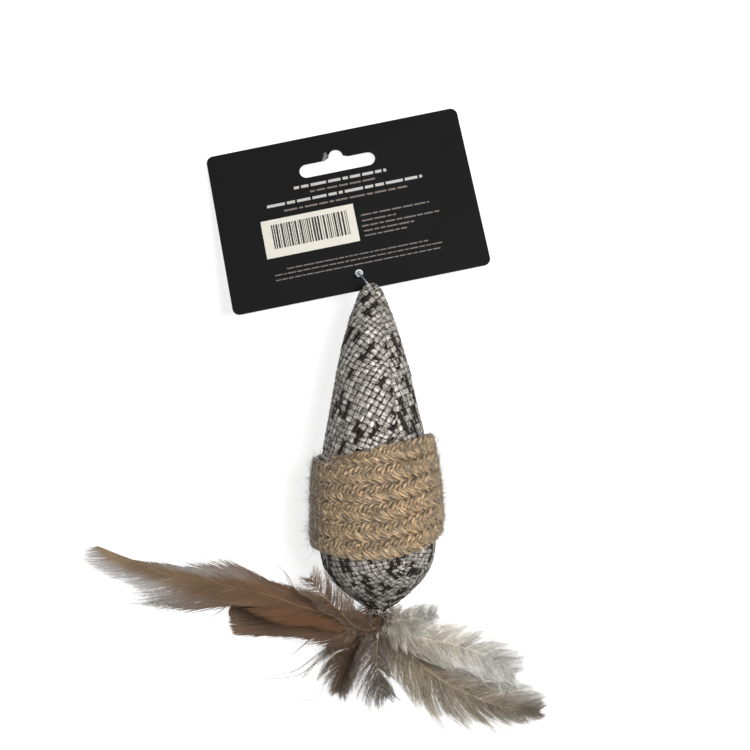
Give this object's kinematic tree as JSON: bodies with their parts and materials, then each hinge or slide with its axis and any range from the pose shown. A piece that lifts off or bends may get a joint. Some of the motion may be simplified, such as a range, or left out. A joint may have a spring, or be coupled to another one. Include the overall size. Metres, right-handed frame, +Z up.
{
  "type": "stuffed cat toy with feather tail",
  "caption": "Stuffed teardrop cat toy of woven metallic ribbon, wrapped in jute braid, with feathers in its tail and a black hang card looped to its nose.",
  "frame": {"origin": "On the floor under the middle turn of the jute braid, where the toy rests.", "axes": "+Z up; +Y along the toy from its feather tail to its nose and hang card; +X to the right seen from above."},
  "size_m": [0.1861, 0.2561, 0.055],
  "materials": {
    "ribbon_cloth": "plain weave of flat metallic ribbons, silver cream with dark brown strips",
    "lining_cloth": "thin dark backing cloth",
    "fibre": "loose polyester fibre",
    "thread": "sewing thread",
    "jute": "three-strand flat jute braid, hairy and dry",
    "brown_feather": "stiff brown vane, tan at the tip",
    "russet_down": "soft russet-brown down",
    "grey_down": "soft grey-brown down",
    "white_down": "soft off-white down",
    "cream_down": "soft off-white down, tan at the tip",
    "nylon": "clear nylon filament with a moulded lock",
    "card": "near-black matt cardstock with grey print and a pale cut edge"
  },
  "bodies": {
    "toy": {"body_panel_right": "ribbon_cloth", "body_panel_left": "ribbon_cloth", "lining_right": "lining_cloth", "lining_left": "lining_cloth", "fibre_filling": "fibre", "front_seam_thread": "thread", "back_seam_thread": "thread", "jute_wrap": "jute", "tail_closing_thread": "thread", "feather_binding_thread": "thread"},
    "brown_feathers": {"long_brown_feather": "brown_feather", "short_brown_feather": "brown_feather", "upper_brown_marabou": "russet_down"},
    "centre_feathers": {"lower_brown_marabou": "russet_down", "grey_down_feather": "grey_down"},
    "white_feathers": {"white_marabou_tuft": "white_down", "white_marabou": "white_down", "cream_marabou": "cream_down"},
    "loop": {"tag_fastener": "nylon"},
    "card": {"hang_card": "card"}
  },
  "joints": [
    {"name": "tag_swing", "type": "hinge", "parent": "toy", "child": "loop", "pos_m": [-0.00213, 0.08127, 0.02698], "axis": [0, 0, 1], "range_deg": [-45, 40]},
    {"name": "card_flap", "type": "hinge", "parent": "loop", "child": "card", "pos_m": [-0.00669, 0.08722, 0.0168], "axis": [0.9803, 0.1977, 0], "range_deg": [-20, 30]},
    {"name": "brown_feather_sway", "type": "hinge", "parent": "toy", "child": "brown_feathers", "pos_m": [0.0011, -0.04199, 0.02698], "axis": [0, 0, 1], "range_deg": [-5, 8], "stiffness_Nm_per_rad": 0.00002},
    {"name": "centre_feather_sway", "type": "hinge", "parent": "toy", "child": "centre_feathers", "pos_m": [0.0011, -0.04199, 0.02698], "axis": [0, 0, 1], "range_deg": [-5, 5], "stiffness_Nm_per_rad": 0.00002},
    {"name": "white_feather_sway", "type": "hinge", "parent": "toy", "child": "white_feathers", "pos_m": [0.0011, -0.04199, 0.02698], "axis": [0, 0, 1], "range_deg": [-7, 5], "stiffness_Nm_per_rad": 0.00002}
  ]
}
